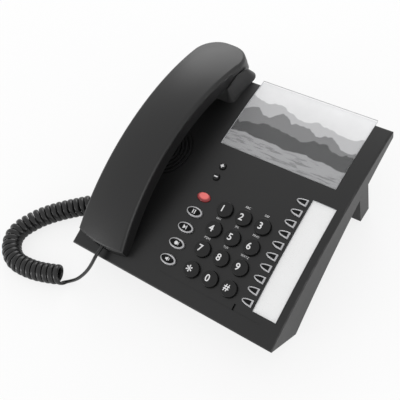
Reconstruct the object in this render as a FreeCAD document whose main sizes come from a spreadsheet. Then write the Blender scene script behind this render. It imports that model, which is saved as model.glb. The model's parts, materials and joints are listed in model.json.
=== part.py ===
"""Desk telephone: wedge housing, key pad, picture window, lift-off handset and curly cord.

Millimetres. X runs across the phone to the right, Y from the front to the back, Z is up.
The origin lies on the desk under the middle of the phone's outline without its cord.
Places on the arched panel are given as a reach (along the arc, from the nose) and a
distance across (from the middle line, to the right).
"""

import FreeCAD
import Part
import Sketcher
import bisect
import math
import os

from FreeCAD import Placement, Rotation, Vector

SIZES = {
    # Housing
    "housing_width": 192.2,
    "panel_length": 192.5,
    "panel_radius": 619.0,
    "front_slope": 18.8,
    "nose_height": 29.9,
    "nose_setback": 105.02,
    "wall": 2.2,
    "edge_round": 1.3,
    "under_radius": 614.0,
    "under_slope": 26.7,
    "undercut": 30.3,
    "foot_height": 1.0,
    "floor_thickness": 2.0,
    "rear_lip": 8.0,
    "fit_gap": 0.2,
    "rail_depth": 14.0,
    "foot_radius": 4.0,
    "foot_spread": 140.0,
    "foot_inset": 1.0,
    # Rear stand
    "stand_reach": 139.5,
    "stand_thickness": 14.0,
    "stand_width": 186.0,
    "stand_arch_width": 50.0,
    "stand_arch_height": 17.0,
    "stand_post_radius": 2.5,
    "stand_post_spread": 120.0,
    "stand_pad_width": 16.0,
    "stand_pad_side": 4.0,
    "stand_wall": 2.4,
    "stand_end": 24.0,
    "stand_gap": 0.05,
    "stand_post_depth": 6.0,
    "stand_post_rise": 2.0,
    # Keys
    "key_travel": 1.2,
    "key_clearance": 0.35,
    "key_seat_gap": 0.3,
    "key_flange": 1.0,
    "key_flange_thickness": 1.0,
    "key_edge": 0.6,
    "dial_diameter": 12.7,
    "dial_rise": 2.8,
    "dial_first_across": 12.9,
    "dial_first_reach": 78.8,
    "dial_column_pitch": 17.0,
    "dial_row_pitch": 17.45,
    "function_across": -9.0,
    "function_first_reach": 67.0,
    "function_pitch": 14.0,
    "function_length": 14.0,
    "function_width": 8.2,
    "function_rise": 2.2,
    "volume_across": -8.9,
    "volume_first_reach": 110.3,
    "volume_pitch": 10.15,
    "volume_diameter": 5.6,
    "volume_rise": 1.6,
    "memory_across": 63.75,
    "memory_first_reach": 109.3,
    "memory_pitch": 9.41,
    "memory_length": 9.0,
    "memory_width": 5.7,
    "memory_rise": 1.6,
    # Lamp, windows and openings of the panel
    "lamp_reach": 81.0,
    "lamp_length": 12.0,
    "lamp_width": 7.6,
    "lamp_rise": 1.3,
    "lamp_edge": 1.0,
    "window_across": 29.45,
    "window_reach": 128.6,
    "window_width": 103.7,
    "window_length": 68.5,
    "label_across": 80.05,
    "label_reach": 20.3,
    "label_width": 19.3,
    "label_length": 93.8,
    "card_thickness": 0.3,
    "card_gap": 0.1,
    "card_short": 1.0,
    "pane_thickness": 1.0,
    "recess_depth": 1.5,
    "crease_reach": 14.3,
    "crease_across": 34.5,
    "crease_length": 91.0,
    "crease_width": 0.8,
    "crease_depth": 0.3,
    "mic_across": 56.3,
    "mic_reach": 16.6,
    "mic_slot_width": 1.6,
    "mic_slot_length": 5.0,
    "mic_radius": 3.0,
    "mic_depth": 2.6,
    # Loudspeaker and grille
    "speaker_reach": 105.8,
    "speaker_radius": 20.0,
    "speaker_rim": 2.0,
    "speaker_depth": 8.0,
    "magnet_radius": 9.0,
    "speaker_gap": 0.6,
    "speaker_rim_height": 1.6,
    "cone_depth": 1.2,
    "grille_first_radius": 10.5,
    "grille_step": 3.3,
    "grille_groove": 1.5,
    "grille_depth": 1.2,
    "grille_hole_radius": 0.6,
    # Boards
    "board_reach": 66.8,
    "board_right": 80.0,
    "board_left": -28.0,
    "board_wing": -80.0,
    "board_front": -48.0,
    "board_back": 52.0,
    "board_wing_back": -8.0,
    "board_thickness": 1.6,
    "mat_depth": 7.0,
    "mat_thickness": 1.2,
    "mat_left": -18.0,
    "mat_right": 72.0,
    "mat_half": 46.0,
    "dome_radius": 2.3,
    "led_clearance": 0.6,
    "led_radius": 2.0,
    "led_height": 3.4,
    "boss_radius": 3.2,
    "screw_radius": 1.25,
    "screw_hole_radius": 1.3,
    "screw_head_radius": 2.4,
    "screw_head_height": 1.4,
    "screw_seat_gap": 0.02,
    "screw_length": 7.0,
    "board_screw_length": 5.0,
    "board_screw_inset": 4.0,
    "pilot_spare": 0.5,
    "case_screw_spread": 168.0,
    "case_screw_front": 64.0,
    "case_screw_back": 121.0,
    # Hook
    "hook_reach": 38.8,
    "hook_radius": 3.0,
    "hook_clearance": 0.35,
    "hook_proud": 3.8,
    "hook_edge": 1.0,
    "hook_travel": 2.5,
    "hook_flange_radius": 4.6,
    "hook_flange_thickness": 0.9,
    "hook_switch_side": 6.2,
    # Sockets
    "network_across": 30.0,
    "network_back": -23.7,
    "network_width": 15.6,
    "network_depth": 13.0,
    "network_height": 13.0,
    "network_mouth_width": 11.8,
    "network_mouth_depth": 7.0,
    "network_hollow": 11.0,
    "network_drop": 2.0,
    "jack_width": 10.4,
    "jack_height": 8.0,
    "jack_length": 11.5,
    "jack_wall": 1.2,
    "plug_clearance": 0.2,
    "plug_proud": 3.2,
    "plug_edge": 0.5,
    "base_jack_back": -51.2,
    "base_jack_height": 24.0,
    # Handset
    "handset_across": -64.0,
    "handset_reach": 105.8,
    "handset_yaw": -1.8,
    "handset_rise": 31.2,
    "handset_arc": 193.4,
    "handset_shift": 7.6,
    "handset_crown": 2.5,
    "handset_crown_radius": 125.0,
    "handset_front": 93.5,
    "handset_back": 106.5,
    "mouth_half_width": 24.0,
    "ear_half_width": 24.0,
    "mouth_end_radius": 82.0,
    "ear_corner": 20.0,
    "waist_radius": 1920.0,
    "seam_drop": 6.3,
    "seam_step": 0.35,
    "room_spare": 5.0,
    "grip_drop": 13.5,
    "grip_belly_radius": 223.0,
    "grip_room_front": -50.0,
    "grip_room_back": 40.0,
    "handset_screw_front": -69.5,
    "handset_screw_back": 40.5,
    "counterbore_depth": 2.6,
    "counterbore_radius": 2.7,
    "handset_wall": 2.2,
    "handset_edge": 3.0,
    "rest_gap": 0.3,
    "cup_top": 10.0,
    "cup_depth": 18.0,
    "cup_front": 64.5,
    "cup_back": 90.0,
    "cup_half_width": 24.2,
    "cup_corner": 1.0,
    "cup_flare": 22.0,
    "receiver_centre": 77.0,
    "receiver_height": -1.9,
    "receiver_tilt": -10.0,
    "receiver_radius": 14.0,
    "receiver_depth": 6.0,
    "receiver_shoulder": 2.4,
    "transmitter_across": -14.0,
    "transmitter_centre": -82.0,
    "transmitter_radius": 4.8,
    "transmitter_depth": 4.2,
    "transmitter_height": -4.4,
    "sound_hole_radius": 0.8,
    "sound_hole_step": 3.0,
    "ballast_length": 58.0,
    "ballast_width": 16.0,
    "ballast_depth": 4.0,
    "jack_across": 3.0,
    "jack_level": -1.2,
    # Cord
    "wire_diameter": 2.9,
    "curl_radius": 7.2,
    "curl_start_ramp": 4.0,
    "curl_end_ramp": 10.0,
    "cord_rise": 0.2,
    "cord_leg": 6.0,
}

DIAL_NAMES = ("1", "2", "3", "4", "5", "6", "7", "8", "9", "star", "0", "hash")
FUNCTION_KEYS = 4
MEMORY_KEYS = 10
VOLUME_KEYS = ("up", "down")
HANDSET_SWEEP = 80.0
GRILLE_RINGS = 5
HOLES_PER_RING = 10

# Route of the cord, chosen by hand and given from the front left corner of the housing: the
# plain lead between the handset's plug and the curls, and the middle line of the curls.
LEAD_POINTS = ((29.4, -7.0, 31.5), (24.0, -12.4, 22.0), (14.5, -19.0, 11.0))
COIL_POINTS = (
    (-0.9, -22.1), (-9.4, -25.9), (-30.5, -32.6), (-55.0, -33.2), (-71.6, -14.5), (-62.2, 8.6),
    (-47.5, 25.4), (-31.0, 39.3), (-23.5, 45.5),
)
FIRST_CURL_ANGLE = -62.0
CURL_TURNS = 29 + 2 / 3
KNOTS_PER_TURN = 4
AXIS_SAMPLES = 600


class Size:
    """A number together with the sheet formula that gives it."""

    def __init__(self, value, text):
        self.value = float(value)
        self.text = text

    def __float__(self):
        return self.value

    def __add__(self, other):
        other = as_size(other)
        return Size(self.value + other.value, f"({self.text} + {other.text})")

    def __sub__(self, other):
        other = as_size(other)
        return Size(self.value - other.value, f"({self.text} - {other.text})")

    def __mul__(self, other):
        other = as_size(other)
        return Size(self.value * other.value, f"({self.text} * {other.text})")

    def __truediv__(self, other):
        other = as_size(other)
        return Size(self.value / other.value, f"({self.text} / {other.text})")

    def __neg__(self):
        return Size(-self.value, f"(0 - {self.text})")

    def __radd__(self, other):
        return as_size(other) + self

    def __rsub__(self, other):
        return as_size(other) - self

    def __rmul__(self, other):
        return as_size(other) * self


def as_size(item):
    if isinstance(item, Size):
        return item
    number = float(item)
    text = f"{number!r}" if number >= 0 else f"(0 - {-number!r})"
    return Size(number, text)


doc = FreeCAD.newDocument("desk_phone")
sheet = doc.addObject("Spreadsheet::Sheet", "Sizes")
for row, (alias, number) in enumerate(SIZES.items(), start=1):
    sheet.set(f"A{row}", alias)
    sheet.set(f"B{row}", str(number))
    sheet.setAlias(f"B{row}", alias)
doc.recompute()


class SheetSizes:
    """Gives each cell of the sheet as a Size under its alias."""

    def __getattr__(self, alias):
        return Size(sheet.get(alias), f"Sizes.{alias}")


size = SheetSizes()
pieces = {}
FAR = 120.0
PAST = 12.0
BAR_HALF = 40.0
LEVEL = Placement()


def bind(item, prop, amount):
    item.setExpression(prop, as_size(amount).text)


def finish(label, item, place=None):
    """Names a finished sub-part and puts it in its place."""
    item.Label = label
    if place is not None:
        item.Placement = place
    pieces[label] = item
    return item


def shift(x=0.0, y=0.0, z=0.0):
    return Placement(Vector(float(x), float(y), float(z)), Rotation())


def tilt(angle):
    return Placement(Vector(), Rotation(Vector(1, 0, 0), float(angle)))


def block(name, low, high, place=LEVEL):
    """Box between two corners."""
    item = doc.addObject("Part::Box", name)
    for prop, a, b in zip(("Length", "Width", "Height"), low, high):
        bind(item, prop, as_size(b) - a)
    item.Placement = place.multiply(shift(*low))
    return item


def rod(name, radius, low, high, place=LEVEL):
    """Round bar along the local Z axis."""
    item = doc.addObject("Part::Cylinder", name)
    bind(item, "Radius", radius)
    bind(item, "Height", as_size(high) - low)
    item.Placement = place.multiply(shift(z=low))
    return item


def barrel(name, radius, width, centre):
    """Round bar along X, centred on the middle line."""
    item = doc.addObject("Part::Cylinder", name)
    bind(item, "Radius", radius)
    bind(item, "Height", width)
    start = Vector(-float(width) / 2, centre[0], centre[1])
    item.Placement = Placement(start, Rotation(Vector(0, 1, 0), 90))
    return item


def oval_bar(name, length, width, low, high, place=LEVEL):
    """Bar of oval section, long side along X."""
    ring = doc.addObject("Part::Ellipse", name + "_outline")
    bind(ring, "MajorRadius", as_size(length) / 2)
    bind(ring, "MinorRadius", as_size(width) / 2)
    item = doc.addObject("Part::Extrusion", name)
    item.Base = ring
    item.DirMode = "Custom"
    item.Dir = Vector(0, 0, 1)
    item.Solid = True
    bind(item, "LengthFwd", as_size(high) - low)
    item.Placement = place.multiply(shift(z=low))
    return item


def bullet_bar(name, length, width, low, high, place=LEVEL):
    """Bar of half-oval section: flat to the right, rounded to a point on the left."""
    length = as_size(length)
    whole = oval_bar(name + "_whole", length * 2, width, low, high, shift(x=length / 2))
    keep = block(name + "_keep", (-length, -as_size(width), low), (length / 2, width, high))
    return common(name, whole, keep, place)


def common(name, one, other, place=None):
    item = doc.addObject("Part::Common", name)
    item.Base = one
    item.Tool = other
    if place is not None:
        item.Placement = place
    return item


def gather(name, items):
    item = doc.addObject("Part::Compound", name)
    item.Links = list(items)
    return item


def fuse(name, items):
    item = doc.addObject("Part::MultiFuse", name)
    item.Shapes = list(items)
    return item


def cut(name, base, *tools):
    item = doc.addObject("Part::Cut", name)
    item.Base = base
    item.Tool = tools[0] if len(tools) == 1 else gather(name + "_tools", tools)
    return item


def soften(name, base, radius, wanted):
    """Rounds the edges that the test picks."""
    doc.recompute()
    amount = float(radius)
    chosen = [n for n, edge in enumerate(base.Shape.Edges, start=1) if wanted(edge)]
    item = doc.addObject("Part::Fillet", name)
    item.Base = base
    item.Edges = [(n, amount, amount) for n in chosen]
    return item


def top_edges(height):
    level = float(height)
    return lambda edge: all(abs(v.Z - level) < 1e-4 for v in edge.Vertexes)


def new_body(name):
    return doc.addObject("PartDesign::Body", name)


def origin_plane(body, role):
    return [f for f in body.Origin.OriginFeatures if f.Role == role][0]


def outline(body, name, role, corners, arcs=None, lift=0.0):
    """Closed sketch through corners; arcs gives a radius for a side that bulges outwards.

    A radius below zero makes the side hollow instead.
    """
    arcs = arcs or {}
    sketch = body.newObject("Sketcher::SketchObject", name)
    sketch.AttachmentSupport = [(origin_plane(body, role), "")]
    sketch.MapMode = "FlatFace"
    sketch.AttachmentOffset = shift(z=lift)
    spots = [Vector(float(x), float(y), 0) for x, y in corners]
    count = len(spots)
    for n in range(count):
        here, there = spots[n], spots[(n + 1) % count]
        if n in arcs:
            sketch.addGeometry(bulged_arc(here, there, float(arcs[n])))
        else:
            sketch.addGeometry(Part.LineSegment(here, there))
    # A sketch keeps its arcs counterclockwise, so a hollow one starts at its far corner
    begins = [2 if float(arcs.get(n, 1)) < 0 else 1 for n in range(count)]
    for n in range(count):
        after = (n + 1) % count
        joint = Sketcher.Constraint("Coincident", n, 3 - begins[n], after, begins[after])
        sketch.addConstraint(joint)
    for n, (x, y) in enumerate(corners):
        for kind, amount in (("DistanceX", x), ("DistanceY", y)):
            rule = Sketcher.Constraint(kind, -1, 1, n, begins[n], float(amount))
            bind(sketch, f"Constraints[{sketch.addConstraint(rule)}]", amount)
    for n, radius in arcs.items():
        radius = -radius if float(radius) < 0 else radius
        rule = sketch.addConstraint(Sketcher.Constraint("Radius", n, float(radius)))
        bind(sketch, f"Constraints[{rule}]", radius)
    return sketch


def bulged_arc(here, there, radius):
    """Arc that bulges to the right of the way from here to there, or left for a radius below 0."""
    chord = there - here
    half = chord.Length / 2
    right = Vector(chord.y, -chord.x, 0).normalize()
    rise = radius - math.copysign(math.sqrt(radius * radius - half * half), radius)
    return Part.Arc(here, (here + there) * 0.5 + right * rise, there)


def pad(body, sketch, length, midplane=False, taper=0.0, down=False):
    item = body.newObject("PartDesign::Pad", sketch.Name + "_pad")
    item.Profile = sketch
    bind(item, "Length", length)
    item.Midplane = midplane
    item.Reversed = down
    if float(taper):
        bind(item, "TaperAngle", taper)
    return item


def turned(name, corners, arcs=None, role="XZ_Plane", axis="V_Axis", angle=360.0):
    """Solid turned about an axis of its sketch."""
    body = new_body(name)
    sketch = outline(body, name + "_section", role, corners, arcs)
    item = body.newObject("PartDesign::Revolution", name + "_turn")
    item.Profile = sketch
    item.ReferenceAxis = (sketch, [axis])
    item.Midplane = angle < 360.0
    bind(item, "Angle", angle)
    return body


# Places on the housing

def panel_centre():
    slope = math.radians(size.front_slope)
    back = -float(size.nose_setback) + float(size.panel_radius) * math.sin(slope)
    up = float(size.nose_height) - float(size.panel_radius) * math.cos(slope)
    return back, up


def foot_line():
    return float(size.undercut) - float(size.nose_setback), float(size.foot_height)


def under_centre():
    slope = math.radians(size.under_slope)
    back, up = foot_line()
    return (back + float(size.under_radius) * math.sin(slope),
            up - float(size.under_radius) * math.cos(slope))


def panel_place(reach, across=0.0, lift=0.0):
    """Frame on the panel: Y runs up the slope and Z stands square to the panel."""
    slope = float(size.front_slope) - math.degrees(float(reach) / float(size.panel_radius))
    back, up = panel_centre()
    turn = math.radians(slope)
    spot = Vector(float(across), back - float(size.panel_radius) * math.sin(turn),
                  up + float(size.panel_radius) * math.cos(turn))
    return Placement(spot, Rotation(Vector(1, 0, 0), slope)).multiply(shift(z=lift))


def under_place(back, across=0.0):
    """Frame on the underside: Z stands square to it, into the housing."""
    centre = under_centre()
    sine = (centre[0] - float(back)) / float(size.under_radius)
    slope = math.degrees(math.asin(sine))
    up = centre[1] + float(size.under_radius) * math.cos(math.radians(slope))
    return Placement(Vector(float(across), float(back), up), Rotation(Vector(1, 0, 0), slope))


def front_place():
    """Frame on the undercut front face: Y runs down it and Z points into the housing."""
    foot = foot_line()
    nose = Vector(0, -float(size.nose_setback), float(size.nose_height))
    angle = math.degrees(math.atan2(foot[1] - nose.z, foot[0] - nose.y))
    return Placement(nose, Rotation(Vector(1, 0, 0), angle))


def rear_back():
    return panel_place(size.panel_length).Base.y


def arched_plate(name, across, reach, width, length, low, high):
    """Plate that follows the panel, from one height over it to another."""
    span = math.degrees(float(length) / float(size.panel_radius))
    start = float(size.front_slope) - math.degrees(float(reach) / float(size.panel_radius))
    back, up = panel_centre()
    sectors = []
    for end, height in (("outer", high), ("inner", low)):
        item = doc.addObject("Part::Cylinder", f"{name}_{end}")
        bind(item, "Radius", size.panel_radius + height)
        bind(item, "Height", width)
        bind(item, "Angle", as_size(length) / size.panel_radius * (180 / math.pi))
        left = Vector(float(across) - float(width) / 2, back, up)
        turn = Rotation(Vector(1, 0, 0), start).multiply(Rotation(Vector(0, 1, 0), 90))
        turn = turn.multiply(Rotation(Vector(0, 0, 1), 180 - span))
        item.Placement = Placement(left, turn)
        sectors.append(item)
    return cut(name, *sectors)


def front_slab(name, depth):
    """Everything in front of the undercut face, or of a face that lies deeper."""
    return block(name, (-FAR, -FAR, -FAR), (FAR, FAR, depth), front_place())


# Top and bottom covers

def housing_outline():
    width = size.housing_width
    back = rear_back()
    whole = block("housing_block", (-width / 2, -size.nose_setback, 0), (width / 2, back, FAR))
    arched = common("housing_arched", whole,
                    barrel("panel_barrel", size.panel_radius, width + 2, panel_centre()))
    hollowed = cut("housing_hollowed", arched,
                   barrel("under_barrel", size.under_radius, width + 2, under_centre()))
    nosed = cut("housing_nosed", hollowed, front_slab("front_cut", 0))
    centre = panel_centre()

    def on_panel(edge):
        radii = [math.hypot(v.Y - centre[0], v.Z - centre[1]) for v in edge.Vertexes]
        return all(abs(r - float(size.panel_radius)) < 1e-3 for r in radii)

    return soften("housing_rounded", nosed, size.edge_round, on_panel)


def housing_cavity():
    side = size.housing_width / 2 - size.wall
    back = rear_back() - float(size.rear_lip)
    room = block("cavity_block", (-side, -size.nose_setback, 0), (side, back, FAR))
    arched = common("cavity_arched", room, barrel(
        "cavity_barrel", size.panel_radius - size.wall, size.housing_width, panel_centre()))
    return cut("cavity", arched, front_slab("cavity_front", size.wall))


def board_place():
    return panel_place(size.board_reach)


def board_top():
    return -(size.mat_depth + size.mat_thickness)


def board_screw_spots():
    inset = size.board_screw_inset
    sides = (size.board_left + inset, size.board_right - inset)
    return [(x, y) for x in sides for y in (size.board_front + inset, size.board_back - inset)]


def case_screw_places():
    half = size.case_screw_spread / 2
    backs = [float(b) - float(size.nose_setback)
             for b in (size.case_screw_front, size.case_screw_back)]
    return [under_place(back, x) for back in backs for x in (-half, half)]


def screw(name, place, length):
    """Pan-head screw; the head's seat is the local plane Z = 0 and the shaft points up."""
    head = rod(name + "_head", size.screw_head_radius, -size.screw_head_height, 0)
    shaft = rod(name + "_shaft", size.screw_radius, 0, length)
    item = fuse(name, (head, shaft))
    item.Placement = place.multiply(shift(z=-size.screw_seat_gap))
    return item


def bosses():
    """Posts under the panel that take the board screws and the case screws."""
    posts = []
    for n, (x, y) in enumerate(board_screw_spots()):
        place = board_place().multiply(shift(x, y))
        posts.append(rod(f"board_post_{n}", size.boss_radius, board_top(), 0, place))
    for n, place in enumerate(case_screw_places()):
        posts.append(rod(f"case_post_{n}", size.boss_radius, size.floor_thickness, FAR, place))
    inside = barrel("post_barrel", size.panel_radius - size.wall / 2, size.housing_width,
                    panel_centre())
    return common("posts", gather("all_posts", posts), inside)


def boss_holes():
    holes = []
    for n, (x, y) in enumerate(board_screw_spots()):
        place = board_place().multiply(shift(x, y, board_top() - size.board_thickness))
        holes.append(rod(f"board_pilot_{n}", size.screw_hole_radius, 0,
                         size.board_screw_length + size.pilot_spare, place))
    for n, place in enumerate(case_screw_places()):
        holes.append(rod(f"case_pilot_{n}", size.screw_hole_radius, 0,
                         size.screw_length + size.pilot_spare, place))
    return holes


def grille_cuts():
    place = panel_place(size.speaker_reach, size.handset_across)
    rings, holes = [], []
    for n in range(GRILLE_RINGS):
        middle = size.grille_first_radius + size.grille_step * n
        outer = rod(f"ring_{n}_out", middle + size.grille_groove / 2, -size.grille_depth, 2)
        inner = rod(f"ring_{n}_in", middle - size.grille_groove / 2, -size.grille_depth - 1, 3)
        ring = cut(f"ring_{n}", outer, inner)
        ring.Placement = place
        rings.append(ring)
        if float(middle) > float(size.speaker_radius - size.speaker_rim):
            continue
        for k in range(HOLES_PER_RING):
            turn = 2 * math.pi * (k + 0.5 * n) / HOLES_PER_RING
            spot = shift(float(middle) * math.cos(turn), float(middle) * math.sin(turn))
            holes.append(rod(f"sound_hole_{n}_{k}", size.grille_hole_radius, -size.wall - 1, 1,
                             place.multiply(spot)))
    return [fuse("grille", rings + holes)]


def dial_spots():
    spots = []
    for n in range(len(DIAL_NAMES)):
        row, column = divmod(n, 3)
        spots.append((size.dial_first_reach - size.dial_row_pitch * row,
                      size.dial_first_across + size.dial_column_pitch * column))
    return spots


def function_spots():
    return [(size.function_first_reach - size.function_pitch * n, size.function_across)
            for n in range(FUNCTION_KEYS)]


def volume_spots():
    return [(size.volume_first_reach - size.volume_pitch * n, size.volume_across)
            for n in range(len(VOLUME_KEYS))]


def memory_spots():
    return [(size.memory_first_reach - size.memory_pitch * n, size.memory_across)
            for n in range(MEMORY_KEYS)]


def key_holes():
    low, high = -size.wall - 2, 2
    gap = size.key_clearance
    holes = []
    for n, spot in enumerate(dial_spots()):
        holes.append(rod(f"dial_hole_{n}", size.dial_diameter / 2 + gap, low, high,
                         panel_place(*spot)))
    for n, spot in enumerate(volume_spots()):
        holes.append(rod(f"volume_hole_{n}", size.volume_diameter / 2 + gap, low, high,
                         panel_place(*spot)))
    for n, spot in enumerate(function_spots()):
        holes.append(oval_bar(f"function_hole_{n}", size.function_length + gap * 2,
                              size.function_width + gap * 2, low, high, panel_place(*spot)))
    for n, spot in enumerate(memory_spots()):
        holes.append(bullet_bar(f"memory_hole_{n}", size.memory_length + gap * 2,
                                size.memory_width + gap * 2, low, high, panel_place(*spot)))
    lamp = panel_place(size.lamp_reach, size.function_across)
    holes.append(oval_bar("lamp_hole", size.lamp_length + size.fit_gap * 2,
                          size.lamp_width + size.fit_gap * 2, low, high, lamp))
    hook = panel_place(size.hook_reach, size.handset_across)
    holes.append(rod("hook_hole", size.hook_radius + size.hook_clearance, low, high, hook))
    return holes


def panel_cuts():
    gap = size.fit_gap
    window = arched_plate("window_recess", size.window_across, size.window_reach - gap,
                          size.window_width + gap * 2, size.window_length + gap,
                          -size.recess_depth, 2)
    label = arched_plate("label_recess", size.label_across, size.label_reach - gap,
                         size.label_width + gap * 2, size.label_length + gap * 2,
                         -size.recess_depth, 2)
    crease_half = size.crease_length / 2
    crease = block("crease", (-crease_half, -size.crease_width / 2, -size.crease_depth),
                   (crease_half, size.crease_width / 2, 2),
                   panel_place(size.crease_reach, size.crease_across))
    slot_half = size.mic_slot_width / 2
    slot = block("mic_slot", (-slot_half, -size.mic_slot_length / 2, -size.wall - 2),
                 (slot_half, size.mic_slot_length / 2, 2),
                 panel_place(size.mic_reach, size.mic_across))
    return [window, label, crease, slot]


def base_jack_place():
    """Frame of the cord socket: the plug comes in along Y, from the left side wall."""
    spot = Vector(-float(size.housing_width) / 2, float(size.base_jack_back),
                  float(size.base_jack_height))
    return Placement(spot, Rotation(Vector(0, 0, 1), -90))


def jack_aperture(name, place, spare):
    half = size.jack_width / 2 + spare
    rise = size.jack_height / 2 + spare
    return block(name, (-half, -PAST, -rise), (half, size.jack_length + spare, rise), place)


def make_top_cover():
    shell = cut("shell", housing_outline(), housing_cavity())
    posted = fuse("posted_shell", (shell, bosses()))
    base_jack = jack_aperture("base_jack_hole", base_jack_place(), size.fit_gap)
    opened = cut("opened_shell", posted, *key_holes(), *panel_cuts(), *boss_holes(), base_jack)
    finish("top_cover", cut("grilled_shell", opened, *grille_cuts()))


def network_place():
    top = under_place(size.network_back).Base
    return shift(size.network_across, size.network_back, top.z - float(size.network_drop))


def stand_back():
    return float(size.stand_reach) - float(size.nose_setback)


def stand_posts(name, radius):
    half = size.stand_post_spread / 2
    middle = stand_back() + float(size.stand_thickness) / 2
    seat = under_place(middle).Base.z
    low = seat - float(size.stand_post_depth)
    high = seat + float(size.floor_thickness + size.stand_post_rise)
    return [rod(f"{name}_{n}", radius, low, high, shift(x, middle))
            for n, x in enumerate((-half, half))]


def make_bottom_cover():
    side = size.housing_width / 2 - size.wall - size.fit_gap
    back = rear_back() - float(size.rear_lip) - float(size.fit_gap)
    front = -size.nose_setback
    foot = foot_line()[0]
    whole = block("floor_block", (-side, front, size.foot_height), (side, back, FAR))
    arched = common("floor_arched", whole, barrel(
        "floor_barrel", size.under_radius + size.floor_thickness, size.housing_width, under_centre()))
    rail = block("rail_block", (-side - 1, front, 0), (side + 1, foot + size.rail_depth, FAR))
    below = cut("below_floor", barrel("below_barrel", size.under_radius, size.housing_width,
                                      under_centre()), rail)
    plate = cut("floor_plate", arched, below)
    faced = cut("floor_faced", plate, front_slab("floor_front", size.wall + size.fit_gap))
    holes = [rod(f"case_hole_{n}", size.screw_hole_radius, -PAST, size.floor_thickness + 1, place)
             for n, place in enumerate(case_screw_places())]
    half = size.network_width / 2 + size.fit_gap
    deep = size.network_depth / 2 + size.fit_gap
    network = block("network_hole", (-half, -deep, -PAST), (half, deep, 2 * PAST), network_place())
    posts = stand_posts("stand_hole", size.stand_post_radius + size.fit_gap)
    finish("bottom_cover", cut("floor_opened", faced, *holes, network, *posts))


def make_stand_and_feet():
    half = size.stand_width / 2
    near = stand_back()
    far = near + size.stand_thickness
    plate = block("stand_plate", (-half, near, size.foot_height), (half, far, FAR))
    arch = block("stand_arch", (-size.stand_arch_width / 2, near - 1, 0),
                 (size.stand_arch_width / 2, far + 1, size.stand_arch_height))
    under = barrel("stand_barrel", size.under_radius - size.stand_gap, size.housing_width,
                   under_centre())
    roof = barrel("stand_roof", size.under_radius - size.stand_gap - size.stand_wall,
                  size.housing_width, under_centre())
    inner = size.stand_arch_width / 2 + size.stand_wall
    outer = half - size.stand_end
    rooms = gather("stand_rooms", [
        block(f"stand_room_{n}", (low, near + size.stand_wall, 0), (high, far - size.stand_wall, FAR))
        for n, (low, high) in enumerate(((-outer, -inner), (inner, outer)))])
    trimmed = cut("stand_trimmed", common("stand_under", plate, under), arch,
                  common("stand_hollows", rooms, roof))
    posts = stand_posts("stand_post", size.stand_post_radius)
    finish("rear_stand", fuse("stand_posted", [trimmed] + posts))
    spot = foot_line()[0] + float(size.rail_depth - size.foot_radius - size.foot_inset)
    feet = [rod(f"front_foot_{n}", size.foot_radius, 0, size.foot_height, shift(x, spot))
            for n, x in enumerate((-size.foot_spread / 2, size.foot_spread / 2))]
    finish("front_feet", gather("front_feet_pair", feet))
    pads = []
    inset = size.foot_inset
    outside = half - size.stand_pad_side
    for n, edge in enumerate((-outside, outside - size.stand_pad_width)):
        pads.append(block(f"stand_pad_{n}", (edge, near + inset, 0),
                          (edge + size.stand_pad_width, far - inset, size.foot_height)))
    finish("stand_feet", gather("stand_feet_pair", pads))


# Keys, lamp and windows

def flange_levels():
    top = -(size.wall + size.key_seat_gap)
    return top - size.key_flange_thickness, top


def round_key(name, diameter, rise, spot):
    low, seat = flange_levels()
    radius = diameter / 2
    wide = radius + size.key_flange
    edge = size.key_edge
    corners = [(0, low), (wide, low), (wide, seat), (radius, seat), (radius, rise - edge),
               (radius - edge, rise), (0, rise)]
    finish(name, turned(name + "_key", corners, {4: edge}), panel_place(*spot))


def shaped_key(name, bar, length, width, rise, spot):
    low, seat = flange_levels()
    spread = size.key_flange * 2
    flange = bar(name + "_flange", length + spread, width + spread, low, seat)
    cap = bar(name + "_cap", length, width, low, rise)
    whole = fuse(name + "_whole_key", (flange, cap))
    finish(name, soften(name + "_key", whole, size.key_edge, top_edges(rise)), panel_place(*spot))


def make_keys():
    for label, spot in zip(DIAL_NAMES, dial_spots()):
        round_key(f"dial_key_{label}", size.dial_diameter, size.dial_rise, spot)
    for label, spot in zip(VOLUME_KEYS, volume_spots()):
        round_key(f"volume_key_{label}", size.volume_diameter, size.volume_rise, spot)
    for n, spot in enumerate(function_spots(), start=1):
        shaped_key(f"function_key_{n}", oval_bar, size.function_length, size.function_width,
                   size.function_rise, spot)
    for n, spot in enumerate(memory_spots(), start=1):
        shaped_key(f"memory_key_{n}", bullet_bar, size.memory_length, size.memory_width,
                   size.memory_rise, spot)


def make_lamp_and_windows():
    low, seat = flange_levels()
    spread = size.key_flange * 2
    flange = oval_bar("lamp_flange", size.lamp_length + spread, size.lamp_width + spread, low, seat)
    lens = oval_bar("lamp_lens", size.lamp_length, size.lamp_width, low, size.lamp_rise)
    whole = fuse("lamp_whole", (flange, lens))
    finish("message_lamp", soften("lamp_softened", whole, size.lamp_edge, top_edges(size.lamp_rise)),
           panel_place(size.lamp_reach, size.function_across))
    card_low = size.card_gap - size.recess_depth
    card_high = card_low + size.card_thickness
    pane_low = card_high + size.card_gap
    for part in ("window", "label"):
        across, reach = getattr(size, part + "_across"), getattr(size, part + "_reach")
        width, length = getattr(size, part + "_width"), getattr(size, part + "_length")
        name = "picture" if part == "window" else part
        card_length = length - size.card_short if part == "window" else length
        card = arched_plate(name + "_sheet", across, reach, width, card_length, card_low, card_high)
        finish(name + "_card", card)
        pane = arched_plate(name + "_pane", across, reach, width, length, pane_low,
                            pane_low + size.pane_thickness)
        finish(name + "_window", pane)


# Boards, loudspeaker, hook and sockets

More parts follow.
